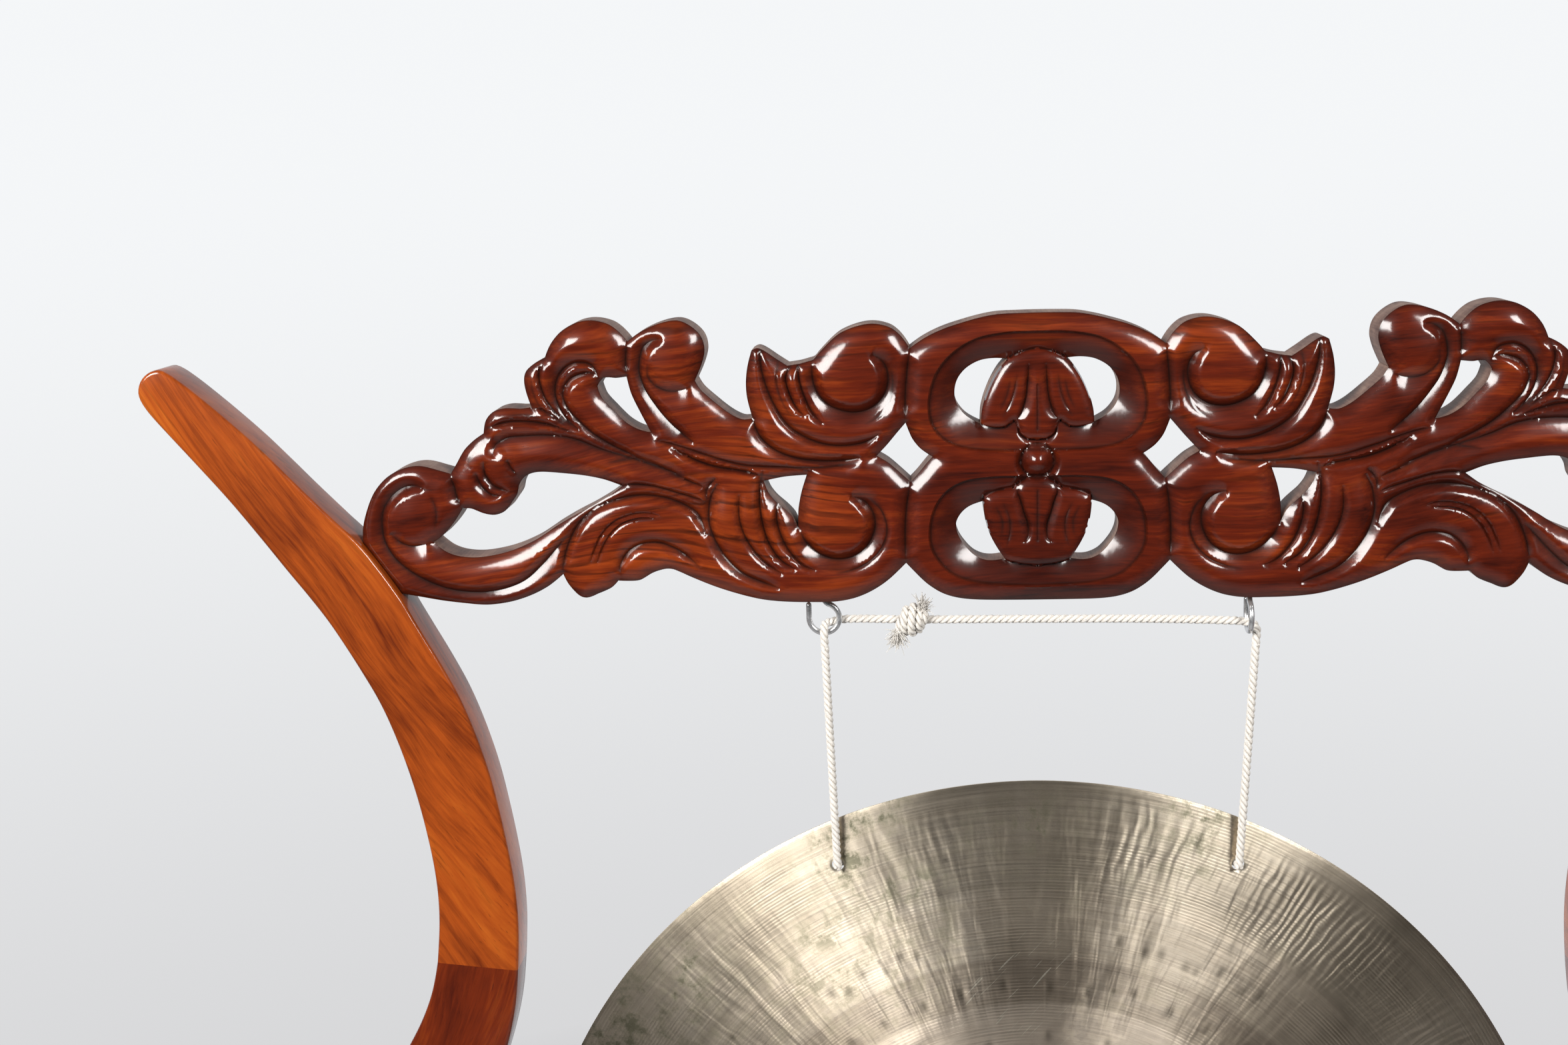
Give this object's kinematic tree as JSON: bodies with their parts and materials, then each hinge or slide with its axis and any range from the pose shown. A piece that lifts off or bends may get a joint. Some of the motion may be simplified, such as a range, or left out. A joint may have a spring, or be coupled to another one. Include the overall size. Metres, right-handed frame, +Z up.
{
  "type": "hanging gong in stand",
  "caption": "Bronze disc gong hung by a cotton rope from two screw hooks under a pierced, scroll-carved wooden crossbar between curved posts.",
  "frame": {"origin": "on the floor, midway between the four foot pads", "axes": "+Z up, +X to the right seen from the front, the gong's struck face towards -Y"},
  "size_m": [0.978, 0.32, 1.007],
  "materials": {
    "red_lacquered_wood": "gloss lacquer",
    "orange_lacquered_wood": "gloss lacquer",
    "brown_lacquered_wood": "gloss lacquer",
    "plain_hardwood": "bare",
    "bronze": "hammered and lathed",
    "cotton_rope": "three-strand twist",
    "zinc_wire": "zinc plated",
    "bolt_steel": "zinc plated",
    "insert_brass": "turned",
    "rubber": "matte"
  },
  "bodies": {
    "root": {"left_post_upper": "orange_lacquered_wood", "right_post_upper": "orange_lacquered_wood", "left_post_lower": "brown_lacquered_wood", "right_post_lower": "brown_lacquered_wood", "left_splice_dowels": "plain_hardwood", "right_splice_dowels": "plain_hardwood", "carved_crossbar": "red_lacquered_wood", "left_crossbar_bolt": "bolt_steel", "right_crossbar_bolt": "bolt_steel", "left_crossbar_insert": "insert_brass", "right_crossbar_insert": "insert_brass", "lower_rail": "brown_lacquered_wood", "left_rail_bolt": "bolt_steel", "right_rail_bolt": "bolt_steel", "left_rail_insert": "insert_brass", "right_rail_insert": "insert_brass", "left_foot": "brown_lacquered_wood", "right_foot": "brown_lacquered_wood", "left_foot_screws": "bolt_steel", "right_foot_screws": "bolt_steel", "left_foot_pads": "rubber", "right_foot_pads": "rubber", "left_hook": "zinc_wire", "right_hook": "zinc_wire", "rope_top_span": "cotton_rope", "rope_knot": "cotton_rope"},
    "rope_turns": {"rope_left_turn": "cotton_rope", "rope_right_turn": "cotton_rope"},
    "left_strand": {"rope_left_drop": "cotton_rope"},
    "right_strand": {"rope_right_drop": "cotton_rope"},
    "back_strand": {"rope_back_span": "cotton_rope"},
    "gong": {"gong": "bronze"}
  },
  "joints": [
    {"name": "gong_swing", "type": "hinge", "parent": "root", "child": "rope_turns", "pos_m": [0, 0, 0.8296], "axis": [1, 0, 0], "range_deg": [-20, 20]},
    {"name": "gong_twist", "type": "hinge", "parent": "rope_turns", "child": "back_strand", "pos_m": [0, 0, 0.693], "axis": [0, 0, 1], "range_deg": [-3.5, 3.5], "stiffness_Nm_per_rad": 3.4},
    {"name": "left_strand_lean", "type": "hinge", "parent": "rope_turns", "child": "left_strand", "pos_m": [-0.11674, 0, 0.82161], "axis": [1, 0, 0], "range_deg": [-3.2, 3.2]},
    {"name": "right_strand_lean", "type": "hinge", "parent": "rope_turns", "child": "right_strand", "pos_m": [0.119, 0, 0.82161], "axis": [1, 0, 0], "range_deg": [-3.2, 3.2]},
    {"name": "gong_pitch", "type": "hinge", "parent": "back_strand", "child": "gong", "pos_m": [0, 0, 0.693], "axis": [1, 0, 0], "range_deg": [-10, 1]}
  ],
  "couplings": [
    {"joint": "left_strand_lean", "follows": "gong_twist", "ratio": -0.875},
    {"joint": "right_strand_lean", "follows": "gong_twist", "ratio": 0.875}
  ]
}
